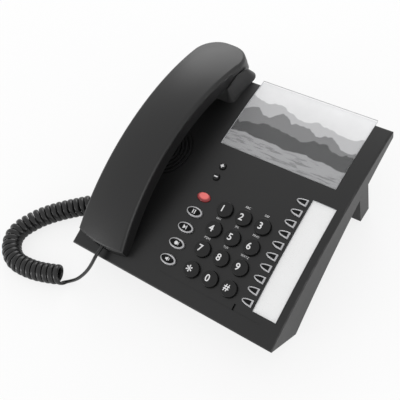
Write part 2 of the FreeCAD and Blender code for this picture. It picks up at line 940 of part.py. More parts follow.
def make_mat():
    """Rubber mat on the board, with a dome under each key and a hole for the lamp's light."""
    top = board_top()
    half = size.mat_half
    flat = block("mat_sheet", (size.mat_left, -half, top), (size.mat_right, half, -size.mat_depth),
                 board_place())
    peak = flange_levels()[0] - size.key_travel - size.key_seat_gap
    spots = dial_spots() + function_spots() + volume_spots() + memory_spots()
    domes = [rod(f"dome_{n}", size.dome_radius, top, peak, panel_place(*spot))
             for n, spot in enumerate(spots)]
    above = block("mat_above", (-FAR, -FAR, top + size.mat_thickness / 2), (FAR, FAR, FAR),
                  board_place())
    led_hole = rod("mat_led_hole", size.led_radius + size.led_clearance, top - 1, 0,
                   panel_place(size.lamp_reach, size.function_across))
    domed = fuse("mat_domed", (flat, common("domes_kept", gather("domes", domes), above)))
    finish("key_mat", cut("mat_holed", domed, led_hole))


def make_boards():
    top = board_top()
    low = top - size.board_thickness
    front = size.board_front
    main = block("board_main", (size.board_left, front, low),
                 (size.board_right, size.board_back, top))
    wing = block("board_left_wing", (size.board_wing, front, low),
                 (size.board_left, size.board_wing_back, top))
    holes = [rod(f"board_hole_{n}", size.screw_hole_radius, low - 1, top + 1, shift(x, y))
             for n, (x, y) in enumerate(board_screw_spots())]
    finish("main_board", cut("board_drilled", fuse("board_whole", (main, wing)), *holes),
           board_place())
    screws = [screw(f"board_screw_{n}", board_place().multiply(shift(x, y, low)),
                    size.board_screw_length) for n, (x, y) in enumerate(board_screw_spots())]
    finish("board_screws", gather("board_screw_set", screws))
    screws = [screw(f"case_screw_{n}", place, size.screw_length)
              for n, place in enumerate(case_screw_places())]
    finish("housing_screws", gather("case_screw_set", screws))
    make_mat()
    led_spot = (size.function_across, size.lamp_reach - size.board_reach)
    radius = size.led_radius
    corners = [(0, 0), (radius, 0), (radius, size.led_height - radius), (0, size.led_height)]
    finish("lamp_led", turned("led", corners, {2: radius}),
           board_place().multiply(shift(*led_spot, top)))


def make_loudspeaker_and_microphone():
    radius, rim, depth = size.speaker_radius, size.speaker_rim, size.speaker_depth
    front = -(size.wall + size.speaker_gap)
    seat = front - size.speaker_rim_height
    magnet = size.magnet_radius
    corners = [(0, front - depth), (magnet, front - depth), (magnet, front - depth / 2),
               (radius - rim, seat), (radius, seat), (radius, front), (radius - rim, front),
               (0, front - size.cone_depth)]
    finish("loudspeaker", turned("speaker", corners),
           panel_place(size.speaker_reach, size.handset_across))
    top = -(size.wall + size.fit_gap)
    capsule = rod("mic_capsule", size.mic_radius, top - size.mic_depth, top)
    finish("base_microphone", capsule,
           panel_place(size.mic_reach, size.mic_across).multiply(shift(z=top - size.mic_depth)))


def make_hook():
    radius, wide = size.hook_radius, size.hook_flange_radius
    seat = -(size.wall + size.key_seat_gap + size.hook_travel)
    low = seat - size.hook_flange_thickness
    top = size.hook_proud
    edge = size.hook_edge
    corners = [(0, low), (wide, low), (wide, seat), (radius, seat), (radius, top - edge),
               (radius - edge, top), (0, top)]
    finish("hook_plunger", turned("hook", corners, {4: edge}),
           panel_place(size.hook_reach, size.handset_across))
    half = size.hook_switch_side / 2
    spot = size.hook_reach - size.board_reach
    place = board_place().multiply(shift(size.handset_across, spot))
    high = float(low) + board_place().inverse().multVec(
        panel_place(size.hook_reach).Base).z - float(size.key_seat_gap)
    case = block("switch_case", (-half, -half, board_top()), (half, half, high))
    finish("hook_switch", case, place.multiply(shift(-half, -half, board_top())))


def jack(name, place):
    half, rise = size.jack_width / 2, size.jack_height / 2
    wall = size.jack_wall
    case = block(name + "_case", (-half, 0, -rise), (half, size.jack_length, rise))
    mouth = block(name + "_mouth", (wall - half, -1, wall - rise),
                  (half - wall, size.jack_length - wall, rise - wall))
    finish(name, cut(name + "_hollow", case, mouth), place)


def cord_plug(name, place):
    gap = size.jack_wall + size.plug_clearance
    half, rise = size.jack_width / 2 - gap, size.jack_height / 2 - gap
    body = block(name + "_body", (-half, -size.plug_proud, -rise),
                 (half, size.jack_length - gap, rise))

    def along_plug(edge):
        return abs(edge.tangentAt(edge.FirstParameter).y) > 0.9

    finish(name, soften(name + "_soft", body, size.plug_edge, along_plug), place)


def make_sockets():
    half, deep = size.network_width / 2, size.network_depth / 2
    mouth_half, mouth_deep = size.network_mouth_width / 2, size.network_mouth_depth / 2
    case = block("network_case", (-half, -deep, 0), (half, deep, size.network_height))
    mouth = block("network_mouth", (-mouth_half, -mouth_deep, -1),
                  (mouth_half, mouth_deep, size.network_hollow))
    finish("network_socket", cut("network_hollowed", case, mouth), network_place())
    jack("handset_socket", base_jack_place())
    cord_plug("base_plug", base_jack_place())


# Handset

def handset_place():
    """Frame of the handset on its rest, where it lies a little askew."""
    askew = Placement(Vector(), Rotation(Vector(0, 0, 1), float(size.handset_yaw)))
    return panel_place(size.handset_reach, size.handset_across).multiply(askew)


def arc_place():
    return handset_place().multiply(
        shift(y=size.handset_shift, z=size.handset_rise - size.handset_arc))


def bowed_bar(name, low, high, low_radius=None, high_radius=None):
    """Bar bowed along the handset's arc, between two distances from its centre.

    The distances are those on the middle line; a radius crowns that face across the bar.
    """
    half = BAR_HALF
    arcs = {}
    low_edge, high_edge = low, high
    if low_radius is not None:
        arcs[0] = low_radius
        low_edge = low + arc_fall(low_radius, half)
    if high_radius is not None:
        arcs[2] = high_radius
        high_edge = high - arc_fall(high_radius, half)
    corners = [(-half, low_edge), (half, low_edge), (half, high_edge), (-half, high_edge)]
    bar = turned(name, corners, arcs, axis="H_Axis", angle=HANDSET_SWEEP)
    bar.Placement = arc_place()
    return bar


def arc_fall(radius, half):
    """How far an arc drops below its crown at half a chord."""
    number = float(radius)
    drop = number - math.sqrt(number * number - half * half)
    text = f"({radius.text} - sqrt({radius.text} ^ 2 - {half} ^ 2))"
    return Size(drop, text)


def handset_plan(name, inset):
    """Upright prism of the handset's outline seen from above."""
    body = new_body(name)
    front = inset - size.handset_front
    back = size.handset_back - inset
    near = size.mouth_half_width - inset
    wide = size.ear_half_width - inset
    corner = size.ear_corner - inset
    corners = [(-near, front), (near, front), (wide, back - corner), (wide - corner, back),
               (corner - wide, back), (-wide, back - corner)]
    waist = size.waist_radius + inset
    arcs = {0: size.mouth_end_radius, 1: -waist, 2: corner, 4: corner, 5: -waist}
    pad(body, outline(body, name + "_outline", "XY_Plane", corners, arcs), 2 * FAR, midplane=True)
    body.Placement = handset_place()
    return body


def jack_place():
    """Frame of the socket in the mouth end; the plug comes in along Y."""
    return handset_place().multiply(
        shift(size.jack_across, -size.handset_front, size.jack_level))


def spoke(along):
    """Frame at the centre of the handset's arc; Z points out through a spot along the grip."""
    angle = math.degrees(math.asin(float(along) / float(seam_radius())))
    return arc_place().multiply(tilt(-angle))


def seam_radius():
    return size.handset_arc - size.seam_drop


def belly_radius():
    return size.handset_arc - size.grip_drop


def handset_screw_places():
    seat = belly_radius() + size.counterbore_depth
    return [spoke(along).multiply(shift(z=seat))
            for along in (size.handset_screw_front, size.handset_screw_back)]


def make_handset_back():
    seam = seam_radius()
    crown = size.handset_arc + size.handset_crown
    crown_radius = size.handset_crown_radius
    outer = bowed_bar("back_outer", seam, crown, high_radius=crown_radius)
    whole = common("back_whole", outer, handset_plan("back_plan", as_size(0)))
    axis = arc_place().Base

    def on_top(edge):
        reach = [math.hypot(v.Y - axis.y, v.Z - axis.z) for v in edge.Vertexes]
        return all(r > float(seam) + 1 for r in reach)

    rounded = soften("back_rounded", whole, size.handset_edge, on_top)
    inner = bowed_bar("back_inner", seam - size.room_spare, crown - size.handset_wall,
                      high_radius=crown_radius)
    room = common("back_room", inner, handset_plan("back_room_plan", size.handset_wall))
    shell = cut("back_shell", rounded, room)
    seat = seam - belly_radius() - size.counterbore_depth
    top = crown - size.handset_wall / 2 - belly_radius() - size.counterbore_depth
    posts, holes = [], []
    for n, place in enumerate(handset_screw_places()):
        posts.append(rod(f"back_post_{n}", size.boss_radius, seat, top, place))
        holes.append(rod(f"back_pilot_{n}", size.screw_hole_radius, 0,
                         size.screw_length + size.pilot_spare, place))
    posted = fuse("back_posted", [shell] + posts)
    hole = jack_aperture("back_jack_hole", jack_place(), size.fit_gap)
    finish("handset_back", cut("back_opened", posted, hole, *holes))


def ear_cup():
    """Flared cup under the ear end."""
    body = new_body("cup")
    wide, front, back = size.cup_half_width, size.cup_front, size.cup_back
    corner = size.cup_corner
    corners = [(corner - wide, front), (wide - corner, front), (wide, front + corner),
               (wide, back - corner), (wide - corner, back), (corner - wide, back),
               (-wide, back - corner), (-wide, front + corner)]
    arcs = {1: corner, 3: corner, 5: corner, 7: corner}
    sketch = outline(body, "cup_outline", "XY_Plane", corners, arcs, lift=size.cup_top)
    pad(body, sketch, size.cup_depth, taper=size.cup_flare, down=True)
    body.Placement = handset_place()
    return body


def receiver_place():
    return handset_place().multiply(shift(0, size.receiver_centre, size.receiver_height)).multiply(
        tilt(size.receiver_tilt))


def transmitter_place():
    return handset_place().multiply(
        shift(size.transmitter_across, size.transmitter_centre, size.transmitter_height))


def sound_holes(name, place):
    """Cross of holes from a capsule down through the shell."""
    step = size.sound_hole_step
    spots = ((0, 0), (step, 0), (-step, 0), (0, step), (0, -step))
    return [rod(f"{name}_{n}", size.sound_hole_radius, -PAST, 1, place.multiply(shift(x, y)))
            for n, (x, y) in enumerate(spots)]


def make_handset_front():
    seam, belly = seam_radius(), belly_radius()
    wall = size.handset_wall
    ring = bowed_bar("front_ring", belly, seam, low_radius=size.grip_belly_radius)
    grip = common("front_grip", ring, handset_plan("front_plan", size.seam_step))
    sideways = Placement(Vector(), Rotation(Vector(0, 1, 0), 90))
    limit = rod("cup_limit", seam, -FAR, FAR, arc_place().multiply(sideways))
    whole = fuse("front_whole", (grip, common("front_cup", ear_cup(), limit)))
    rest = barrel("rest_barrel", size.panel_radius + size.rest_gap, 2 * FAR + size.housing_width,
                  panel_centre())
    rested = cut("front_rested", whole, rest)
    inner = bowed_bar("front_inner", belly + wall, seam + size.room_spare)
    plan = common("front_room_plan", handset_plan("front_room_outline", size.seam_step + wall), block(
        "front_room_block", (-FAR, size.grip_room_front, -FAR), (FAR, size.grip_room_back, FAR),
        handset_place()))
    room = common("front_room", inner, plan)
    receiver = rod("receiver_room", size.receiver_radius + size.fit_gap, 0, 2 * PAST, receiver_place())
    sender = rod("transmitter_room", size.transmitter_radius + size.fit_gap, 0, PAST,
                 transmitter_place())
    hole = jack_aperture("front_jack_hole", jack_place(), size.fit_gap)
    cuts = [room, hole, fuse("receiver_cut", [receiver] + sound_holes("ear_hole", receiver_place())),
            fuse("sender_cut", [sender] + sound_holes("mouth_hole", transmitter_place()))]
    for n, place in enumerate(handset_screw_places()):
        bore = rod(f"front_bore_{n}", size.counterbore_radius, -PAST, 0, place)
        shaft = rod(f"front_screw_hole_{n}", size.screw_hole_radius, -1, PAST, place)
        cuts.append(fuse(f"front_screw_cut_{n}", (bore, shaft)))
    finish("handset_front", cut("front_opened", rested, *cuts))


def make_handset_inside():
    radius, depth = size.receiver_radius, size.receiver_depth
    shoulder = size.receiver_shoulder
    corners = [(0, 0), (radius, 0), (radius, depth - shoulder), (radius - shoulder * 2, depth),
               (0, depth)]
    finish("receiver", turned("receiver_capsule", corners), receiver_place())
    radius, depth = size.transmitter_radius, size.transmitter_depth
    corners = [(0, 0), (radius, 0), (radius, depth), (0, depth)]
    finish("transmitter", turned("transmitter_capsule", corners), transmitter_place())
    half_long, half_wide = size.ballast_length / 2, size.ballast_width / 2
    low = size.handset_rise - size.grip_drop + size.handset_wall
    bar = block("ballast_bar", (-half_wide, -half_long, low),
                (half_wide, half_long, low + size.ballast_depth))
    spot = shift(-half_wide, size.handset_shift - half_long, low)
    finish("ballast_weight", bar, handset_place().multiply(spot))
    jack("handset_jack", jack_place())
    cord_plug("handset_plug", jack_place())
    screws = [screw(f"handset_screw_{n}", place, size.screw_length)
              for n, place in enumerate(handset_screw_places())]
    finish("handset_screws", gather("handset_screw_set", screws))


# Curly cord

def spline(points):
    """Quadratic curve pulled by its points; it starts and ends on the first and the last."""
    curve = Part.BSplineCurve()
    count = len(points)
    many = [3] + [1] * (count - 3) + [3]
    curve.buildFromPolesMultsKnots(points, many, list(range(count - 1)), False, 2)
    return curve


def from_corner(x, y, z):
    return Vector(x - float(size.housing_width) / 2, y - float(size.nose_setback), z)


def curl_axis():
    height = float(size.curl_radius + size.wire_diameter / 2 + size.cord_rise)
    return spline([from_corner(x, y, height) for x, y in COIL_POINTS])


def inside_distances(axis):
    """Distances along the inside of the axis's bends, and along the axis itself."""
    step = axis.length() / AXIS_SAMPLES
    rows = [(0.0, 0.0)]
    last = axis.getD1(axis.FirstParameter)[1]
    for n in range(1, AXIS_SAMPLES + 1):
        way = axis.getD1(axis.parameterAtDistance(step * n))[1]
        inside = rows[-1][0] + step - float(size.curl_radius) * last.getAngle(way)
        rows.append((inside, step * n))
        last = way
    return rows


def curl_spot(axis, rows, share):
    """Spot on the curls at a share of all their turns.

    The curls keep their spacing on the inside of a bend. Their rate grows from nothing over a
    ramp at the start and falls to nothing over one at the end.
    """
    start_ramp, end_ramp = float(size.curl_start_ramp), float(size.curl_end_ramp)
    total = rows[-1][0]
    wound = total - (start_ramp + end_ramp) / 2
    turned_by = share * wound
    if turned_by < start_ramp / 2:
        inside = math.sqrt(2 * start_ramp * turned_by)
    elif turned_by > wound - end_ramp / 2:
        inside = total - math.sqrt(2 * end_ramp * (wound - turned_by))
    else:
        inside = turned_by + start_ramp / 2
    after = min(bisect.bisect_right(rows, (inside,)), AXIS_SAMPLES)
    (inside_a, along_a), (inside_b, along_b) = rows[after - 1], rows[after]
    along = along_a + (along_b - along_a) * (inside - inside_a) / (inside_b - inside_a)
    spot, way = axis.getD1(axis.parameterAtDistance(along))
    way.normalize()
    side = Vector(0, 0, 1).cross(way).normalize()
    turn = math.radians(FIRST_CURL_ANGLE + 360.0 * CURL_TURNS * share)
    offset = side * math.cos(turn) + way.cross(side) * math.sin(turn)
    return spot + offset * float(size.curl_radius)


def curl_knots():
    """Spots and directions along the curls, evenly spaced in turn."""
    axis = curl_axis()
    rows = inside_distances(axis)
    steps = int(round(CURL_TURNS * KNOTS_PER_TURN))
    small = 1e-5
    knots = []
    for n in range(steps + 1):
        share = n / steps
        near = curl_spot(axis, rows, max(share - small, 0.0))
        far = curl_spot(axis, rows, min(share + small, 1.0))
        knots.append((curl_spot(axis, rows, share), (far - near).normalize()))
    return knots


def plain_knots(start, start_way, end, end_way, between=()):
    """Spots and directions along a plain end of the cord."""
    leg = float(size.cord_leg)
    middle = [from_corner(*point) for point in between]
    curve = spline([start, start + start_way * leg] + middle + [end - end_way * leg, end])
    steps = 2 * (len(middle) + 2)
    knots = []
    for n in range(steps + 1):
        spot, way = curve.getD1(curve.parameterAtDistance(curve.length() * n / steps))
        knots.append((spot, way.normalize()))
    return knots


def biarc(one, other):
    """Two arcs that join two spots smoothly, each as its start, its middle and its end."""
    (a, way_a), (b, way_b) = one, other
    span, both = b - a, way_a + way_b
    bend = 2 * (1 - way_a.dot(way_b))
    along = span.dot(both)
    if bend < 1e-9:
        leg = span.dot(span) / (2 * along)
    else:
        leg = (math.sqrt(along * along + bend * span.dot(span)) - along) / bend
    joint = (a + b + (way_a - way_b) * leg) * 0.5
    arcs = []
    for start, corner, end in ((a, a + way_a * leg, joint), (joint, b - way_b * leg, b)):
        weight = (end - start).Length / (2 * leg)
        arcs.append((start, (start + corner * (2 * weight) + end) * (0.5 / (1 + weight)), end))
    return arcs


def arc_edge(start, middle, end):
    bow = (middle - (start + end) * 0.5).Length
    if bow < 1e-4:
        return Part.LineSegment(start, end).toShape()
    return Part.Arc(start, middle, end).toShape()


def least_self_gap(edges):
    """Least clear distance between stretches of the cord that don't follow on each other."""
    spots, run = [], 0.0
    spacing = 0.6
    for edge in edges:
        count = max(2, int(edge.Length / spacing) + 1)
        for n, spot in enumerate(edge.discretize(count)[:-1]):
            spots.append((run + edge.Length * n / (count - 1), spot))
        run += edge.Length
    diameter = float(size.wire_diameter)
    cell = 2 * diameter
    cells = {}
    for entry in spots:
        key = tuple(int(math.floor(c / cell)) for c in entry[1])
        cells.setdefault(key, []).append(entry)
    least = cell
    around = [(i, j, k) for i in (-1, 0, 1) for j in (-1, 0, 1) for k in (-1, 0, 1)]
    for (i, j, k), members in cells.items():
        near = [e for d in around for e in cells.get((i + d[0], j + d[1], k + d[2]), ())]
        for run_a, spot_a in members:
            for run_b, spot_b in near:
                if run_b - run_a > 4 * diameter:
                    least = min(least, spot_a.distanceToPoint(spot_b))
    return least - diameter


def make_cord():
    curls = curl_knots()
    straight = float(size.wire_diameter)
    joins = []
    for place in (jack_place(), base_jack_place()):
        out = place.Rotation.multVec(Vector(0, -1, 0))
        joins.append((place.Base + out * float(size.plug_proud), out))
    (top, top_out), (side, side_out) = joins
    lead = plain_knots(top + top_out * straight, top_out, *curls[0], LEAD_POINTS)
    tail = plain_knots(*curls[-1], side + side_out * straight, -side_out)
    knots = lead + curls[1:] + tail[1:]
    edges = [Part.LineSegment(top, lead[0][0]).toShape()]
    for one, other in zip(knots, knots[1:]):
        edges += [arc_edge(*arc) for arc in biarc(one, other)]
    edges.append(Part.LineSegment(tail[-1][0], side).toShape())
    plain = edges[:2 * len(lead) - 1] + edges[1 - 2 * len(tail):]
    radii = [edge.Curve.Radius for edge in plain if hasattr(edge.Curve, "Radius")]
    path = Part.Wire(edges)
    section = Part.Wire([Part.Circle(top, top_out, float(size.wire_diameter) / 2).toShape()])
    tube = path.makePipeShell([section], True, False)
    item = doc.addObject("Part::Feature", "cord_tube")
    item.Shape = tube
    finish("curly_cord", item)
    area = math.pi * float(size.wire_diameter) ** 2 / 4
    print("cord length", round(path.Length, 1), "least self gap", round(least_self_gap(edges), 2))
    print("least radii of the plain ends", sorted(round(r, 1) for r in radii)[:6])
    print("cord volume over section times length", round(tube.Volume / (area * path.Length), 4))


make_top_cover()
make_bottom_cover()
make_stand_and_feet()
make_keys()
make_lamp_and_windows()
make_boards()
make_loudspeaker_and_microphone()
make_hook()
make_sockets()
make_handset_back()
make_handset_front()
make_handset_inside()
make_cord()
doc.recompute()

os.makedirs("parts", exist_ok=True)
for item in doc.Objects:
    if "Invalid" in item.State or "Error" in item.State:
        raise RuntimeError(f"{item.Name} failed: {item.State}")
for label, item in pieces.items():
    if item.Shape.isNull() or not item.Shape.isValid():
        raise RuntimeError(f"{label} has no valid shape")
    item.Shape.exportStep(f"parts/{label}.step")
    print(label, len(item.Shape.Solids), round(item.Shape.Volume, 1))
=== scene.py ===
"""The looks of a desk telephone: its plastics, marked keys, cards, panes and curly cord.

Metres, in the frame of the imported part: X to the right, Y to the back, Z up from the desk.
"""

import json
from math import cos, pi, radians, sin, sqrt, tau

import bmesh
import bpy
from mathutils import Matrix, Vector


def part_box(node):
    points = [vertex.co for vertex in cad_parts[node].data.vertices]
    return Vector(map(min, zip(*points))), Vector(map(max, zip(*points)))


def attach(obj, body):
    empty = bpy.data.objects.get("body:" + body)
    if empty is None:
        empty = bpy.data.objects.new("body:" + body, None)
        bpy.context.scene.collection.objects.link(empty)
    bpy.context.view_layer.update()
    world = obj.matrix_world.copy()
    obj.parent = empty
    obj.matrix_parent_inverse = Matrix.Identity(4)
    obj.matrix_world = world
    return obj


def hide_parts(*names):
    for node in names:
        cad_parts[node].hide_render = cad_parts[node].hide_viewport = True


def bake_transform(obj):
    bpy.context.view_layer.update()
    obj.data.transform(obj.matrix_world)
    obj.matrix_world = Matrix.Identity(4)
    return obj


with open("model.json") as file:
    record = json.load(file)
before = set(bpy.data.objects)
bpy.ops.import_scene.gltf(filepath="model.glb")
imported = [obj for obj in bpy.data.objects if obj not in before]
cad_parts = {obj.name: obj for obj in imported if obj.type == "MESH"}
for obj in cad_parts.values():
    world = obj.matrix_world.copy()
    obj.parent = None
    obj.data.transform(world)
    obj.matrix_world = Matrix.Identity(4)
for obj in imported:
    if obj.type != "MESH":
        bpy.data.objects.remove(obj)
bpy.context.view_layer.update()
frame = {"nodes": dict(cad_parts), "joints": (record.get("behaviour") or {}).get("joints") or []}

MM = 0.001

# Camera, fitted to the photo
CAMERA_SPOT = Vector((0.2347, -0.22362, 0.4855))
CAMERA_RIGHT = Vector((0.806, 0.555, -0.208))
CAMERA_UP = Vector((-0.375, 0.750, 0.545))
CAMERA_LENS = 61.46
SENSOR_WIDTH = 36.0

# Cord, on the route that the part gives it; its coil goes on a little further at the base end
HANDSET_EXIT = Vector((-64.04, -97.80, 38.95)) * MM
HANDSET_WAY = Vector((-0.0314, -0.98718, -0.15648))
BASE_EXIT = Vector((-99.3, -51.2, 24.0)) * MM
BASE_WAY = Vector((-1.0, 0.0, 0.0))
LEAD_ROUTE = ((-66.7, -112.0, 31.5), (-72.1, -117.4, 22.0), (-81.6, -124.0, 11.0), (-91.5, -127.0, 2.8))
COIL_ROUTE = (
    (-97.0, -127.1), (-105.5, -130.9), (-126.6, -137.6), (-151.1, -138.2), (-167.7, -119.5),
    (-158.3, -96.4), (-143.6, -79.6), (-127.1, -65.7), (-115.8, -56.3),
)
COIL_HEIGHT = 8.85 * MM
CURL_RADIUS = 7.2 * MM
CURL_TURNS = 29 + 5 / 12
START_RAMP = 5.0 * MM
END_RAMP = 6.0 * MM
FIRST_CURL = radians(-62.0)
POINTS_PER_TURN = 16
CORD_WIDTH = 5.0 * MM
CORD_THICKNESS = 2.9 * MM
STRAIGHT = 2.9 * MM
PLAIN_LEG = 6.0 * MM
RING_POINTS = 12
UP = Vector((0.0, 0.0, 1.0))
LEAD_EDGE = Vector((-0.46, 0.36, -0.81))


# Modelling helpers

def clear_selection():
    if bpy.context.mode != "OBJECT":
        bpy.ops.object.mode_set(mode="OBJECT")
    bpy.ops.object.select_all(action="DESELECT")


def pick(piece):
    clear_selection()
    piece.select_set(True)
    bpy.context.view_layer.objects.active = piece


def edit(piece):
    """Opens a piece for editing; the faces picked before stay picked."""
    pick(piece)
    bpy.ops.object.mode_set(mode="EDIT")
    bpy.ops.mesh.select_mode(type="FACE")


def choose_faces(piece, wanted):
    """Picks the faces whose middle and normal pass the test."""
    clear_selection()
    for item in piece.data.vertices:
        item.select = False
    for item in piece.data.edges:
        item.select = False
    for face in piece.data.polygons:
        face.select = wanted(face.center, face.normal)


def paint(piece, finish):
    """Gives the picked faces a further finish."""
    piece.data.materials.append(finish.material)
    for face in piece.data.polygons:
        if face.select:
            face.material_index = len(piece.data.materials) - 1


def settle(piece, body, finish=None):
    """Hangs a finished piece on its body and gives it its finish, where one is given."""
    if finish:
        piece.data.materials.clear()
        piece.data.materials.append(finish.material)
    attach(piece, body)
    return piece


def copy_of(node, name):
    """A merged, smoothed copy of a node, which stands for it."""
    source = frame["nodes"][node]
    piece = bpy.data.objects.new(name, source.data.copy())
    bpy.context.scene.collection.objects.link(piece)
    pick(piece)
    bpy.ops.mesh.customdata_custom_splitnormals_clear()
    edit(piece)
    bpy.ops.mesh.select_all(action="SELECT")
    bpy.ops.mesh.remove_doubles(threshold=2e-6)
    bpy.ops.object.mode_set(mode="OBJECT")
    bpy.ops.object.shade_smooth_by_angle(angle=radians(32))
    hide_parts(node)
    return piece


# Shader helpers

class Value:
    """What a socket gives, so that shader maths can be written as sums."""

    def __init__(self, finish, socket):
        self.finish = finish
        self.socket = socket

    def maths(self, operation, *terms):
        return self.finish.node("ShaderNodeMath", {"operation": operation}, dict(enumerate(terms)))

    def __add__(self, other):
        return self.maths("ADD", self, other)

    def __radd__(self, other):
        return self.maths("ADD", other, self)

    def __sub__(self, other):
        return self.maths("SUBTRACT", self, other)

    def __rsub__(self, other):
        return self.maths("SUBTRACT", other, self)

    def __mul__(self, other):
        return self.maths("MULTIPLY", self, other)

    def __rmul__(self, other):
        return self.maths("MULTIPLY", other, self)

    def __truediv__(self, other):
        return self.maths("DIVIDE", self, other)

    def above(self, level, soft):
        """0 below the level, 1 above it, with a soft edge."""
        settings = {"interpolation_type": "SMOOTHSTEP"}
        sockets = {0: self, 1: level - soft, 2: level + soft}
        return self.finish.node("ShaderNodeMapRange", settings, sockets)


class Finish:
    """A material: a surface shader and the nodes that vary it."""

    def __init__(self, name, **constants):
        self.material = bpy.data.materials.new(name)
        self.material.use_nodes = True
        self.tree = self.material.node_tree
        self.shader = self.tree.nodes["Principled BSDF"]
        for socket, amount in constants.items():
            self.shader.inputs[socket.replace("_", " ")].default_value = amount

    def node(self, kind, settings=None, sockets=None, output=0):
        """Any node: its settings come first, then the values or links of its sockets."""
        made = self.tree.nodes.new(kind)
        for key, amount in (settings or {}).items():
            setattr(made, key, amount)
        for key, amount in (sockets or {}).items():
            self.join(amount, made.inputs[key])
        return Value(self, made.outputs[output])

    def join(self, amount, socket):
        if isinstance(amount, Value):
            self.tree.links.new(amount.socket, socket)
        else:
            socket.default_value = amount

    def feed(self, socket, amount):
        self.join(amount, self.shader.inputs[socket])

    def place(self):
        return self.node("ShaderNodeTexCoord", output="Object")

    def axis(self, name):
        return self.node("ShaderNodeSeparateXYZ", None, {0: self.place()}, name)

    def noise(self, scale, detail=2.0, rough=0.5, place=None):
        sockets = {"Vector": place or self.place(), "Scale": scale, "Detail": detail,
                   "Roughness": rough}
        return self.node("ShaderNodeTexNoise", None, sockets)

    def mix(self, mask, one, other):
        """The first colour where the mask is 0, the second where it is 1."""
        sockets = {0: mask}
        for index, tone in ((6, one), (7, other)):
            sockets[index] = tone if isinstance(tone, Value) else (*tone, 1.0)
        return self.node("ShaderNodeMix", {"data_type": "RGBA"}, sockets, 2)

    def bump(self, height, depth):
        sockets = {"Strength": 1.0, "Distance": depth, "Height": height}
        self.feed("Normal", self.node("ShaderNodeBump", None, sockets))


def moulded(name, tone, rough, grain=0.00045, depth=0.00002, vary=0.12, **constants):
    """Moulded plastic: an even fine grain, a faint mottle and a sheen that varies a little."""
    finish = Finish(name, **constants)
    mottle = finish.noise(26.0, 3.0, 0.55)
    speck = finish.noise(1 / grain, 2.0, 0.6)
    dark = tuple(part * (1 - vary) for part in tone)
    pale = tuple(part * (1 + vary) for part in tone)
    finish.feed("Base Color", finish.mix(mottle * 0.5 + speck * 0.5, dark, pale))
    finish.feed("Roughness", rough - 0.07 + mottle * 0.08 + speck * 0.06)
    finish.bump(speck, depth)
    return finish


def silver_paint():
    finish = Finish("silver_paint", Metallic=0.75)
    flake = finish.noise(5200.0, 1.0)
    rub = finish.noise(420.0, 3.0, 0.6)
    finish.feed("Base Color", finish.mix(flake, (0.38, 0.38, 0.39), (0.56, 0.56, 0.57)))
    finish.feed("Roughness", 0.28 + rub * 0.16)
    finish.bump(flake, 0.000006)
    return finish


def mark_ink():
    """White print with the slight unevenness of pad printing."""
    finish = Finish("mark_ink")
    patch = finish.noise(900.0, 3.0, 0.6)
    finish.feed("Base Color", finish.mix(patch, (0.66, 0.66, 0.67), (0.84, 0.84, 0.84)))
    finish.feed("Roughness", 0.42 + patch * 0.12)
    return finish


def lamp_lens():
    """Red clear plastic with a painted glow: lighter red in the middle, fading to dark red at the rim.
    """
    finish = Finish("lamp_lens", Coat_Weight=0.5, Coat_Roughness=0.12)
    cloud = finish.noise(300.0, 2.0)
    low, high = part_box("message_lamp")
    middle = (low + high) / 2
    across = (finish.axis("X") - middle.x) / ((high.x - low.x) / 2 - MM)
    along = (finish.axis("Y") - middle.y) / ((high.y - low.y) / 2 - MM)
    # Painted glow: the lens is coloured bright red in its middle and darkened to deep red towards the
    # rim
    rim = (across * across + along * along).above(0.50, 0.26)
    painted_glow = finish.mix(cloud, (0.84, 0.135, 0.13), (0.92, 0.19, 0.18))
    finish.feed("Base Color", finish.mix(rim, painted_glow, (0.24, 0.010, 0.012)))
    finish.feed("Roughness", 0.24 + cloud * 0.1)
    return finish


def paper():
    """White label card with faint fibres."""
    finish = Finish("label_paper", Specular_IOR_Level=0.2)
    fibre = finish.noise(1500.0, 5.0, 0.7)
    cloud = finish.noise(60.0, 2.0)
    shade = fibre * 0.6 + cloud * 0.4
    finish.feed("Base Color", finish.mix(shade, (0.89, 0.89, 0.89), (0.97, 0.97, 0.97)))
    finish.feed("Roughness", 0.75 + fibre * 0.15)
    finish.bump(fibre, 0.00001)
    return finish


# Hills of the picture, from the farthest on: height of the line as a share of the card, swing and
# scale of the line, place in the noise, raggedness, shade
HILLS = (
    (0.70, 0.030, 30.0, 0.31, 0.0004, (0.52, 0.52, 0.53)),
    (0.56, 0.034, 38.0, 0.57, 0.0010, (0.20, 0.20, 0.205)),
    (0.42, 0.030, 46.0, 0.83, 0.0018, (0.045, 0.045, 0.047)),
)
SHORE = 0.24
LAKE = (SHORE, 0.008, 60.0, 0.12, 0.0006, (0.40, 0.40, 0.41))
MIST = 0.06
RIPPLE_STRETCH = (0.35, 2.6, 1.0)


def ridge(finish, base, swing, scale, seed, fuzz):
    """Mask of a hill line on the picture card: 1 below the line."""
    across, along = finish.axis("X"), finish.axis("Y")
    spot = finish.node("ShaderNodeCombineXYZ", None, {0: across, 1: seed})
    line = finish.noise(scale, 3.0, 0.5, spot)
    trees = finish.noise(600.0, 3.0, 0.7)
    return (base + (line - 0.5) * swing + (trees - 0.5) * fuzz - along).above(0.0, 0.0006)


